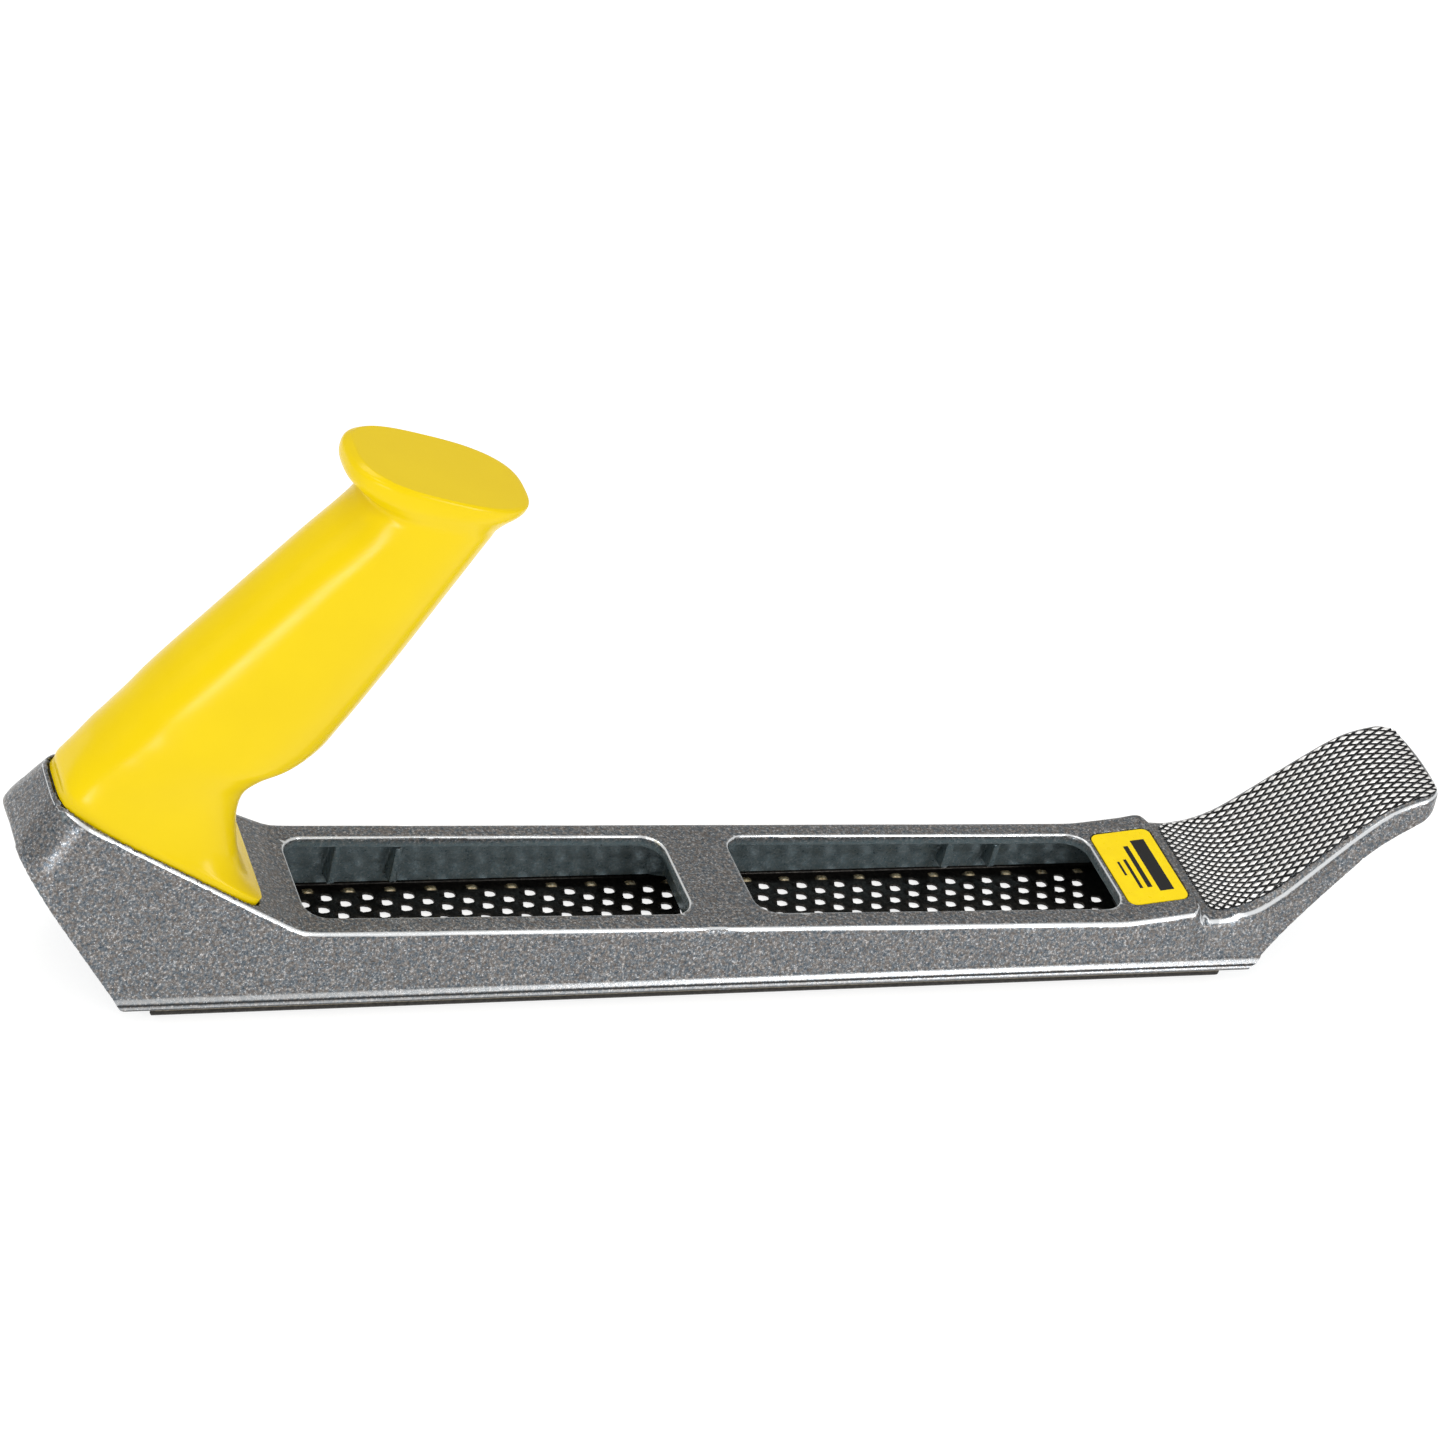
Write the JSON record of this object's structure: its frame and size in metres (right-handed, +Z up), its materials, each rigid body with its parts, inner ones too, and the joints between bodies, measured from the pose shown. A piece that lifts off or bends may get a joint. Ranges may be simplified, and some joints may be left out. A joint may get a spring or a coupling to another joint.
{
  "type": "wood rasp",
  "caption": "Hand wood rasp: a perforated steel blade under a cast body with chip windows, a raised moulded handle at the heel and a knurled finger rest at the toe.",
  "frame": {"origin": "on the plane of the tooth tips, under the middle of the tool's length", "axes": "+X from the heel (handle) to the toe (finger rest), +Y to the side, +Z up from the teeth to the handle cap"},
  "size_m": [0.3281, 0.0462, 0.127],
  "materials": {
    "cast_alloy": "fine shot-blasted grey casting with a satin sheen",
    "handle_plastic": "glossy yellow moulding",
    "blade_steel": "dark hardened sheet with worn brownish edges",
    "zinc_steel": "zinc-plated steel",
    "printed_label": "yellow printed film with plain black marks"
  },
  "bodies": {
    "body": {"body_casting": "cast_alloy", "handle": "handle_plastic", "blade": "blade_steel", "label": "printed_label", "handle_washer_rear": "zinc_steel", "handle_screw_rear": "zinc_steel", "handle_washer_front": "zinc_steel", "handle_screw_front": "zinc_steel", "tension_washer": "zinc_steel"},
    "tension_screw": {"tension_screw": "zinc_steel", "screw_clip": "zinc_steel"},
    "blade_clamp": {"blade_clamp": "zinc_steel"}
  },
  "joints": [
    {"name": "tension_screw_turn", "type": "hinge", "parent": "body", "child": "tension_screw", "pos_m": [0.11665, 0, 0.0085], "axis": [1, 0, 0], "range_deg": [0, 1800]},
    {"name": "clamp_slide", "type": "slide", "parent": "body", "child": "blade_clamp", "axis": [-1, 0, 0], "range_m": [0, 0.004]}
  ],
  "couplings": [
    {"joint": "tension_screw_turn", "follows": "clamp_slide", "rad_per_m": 7854}
  ]
}
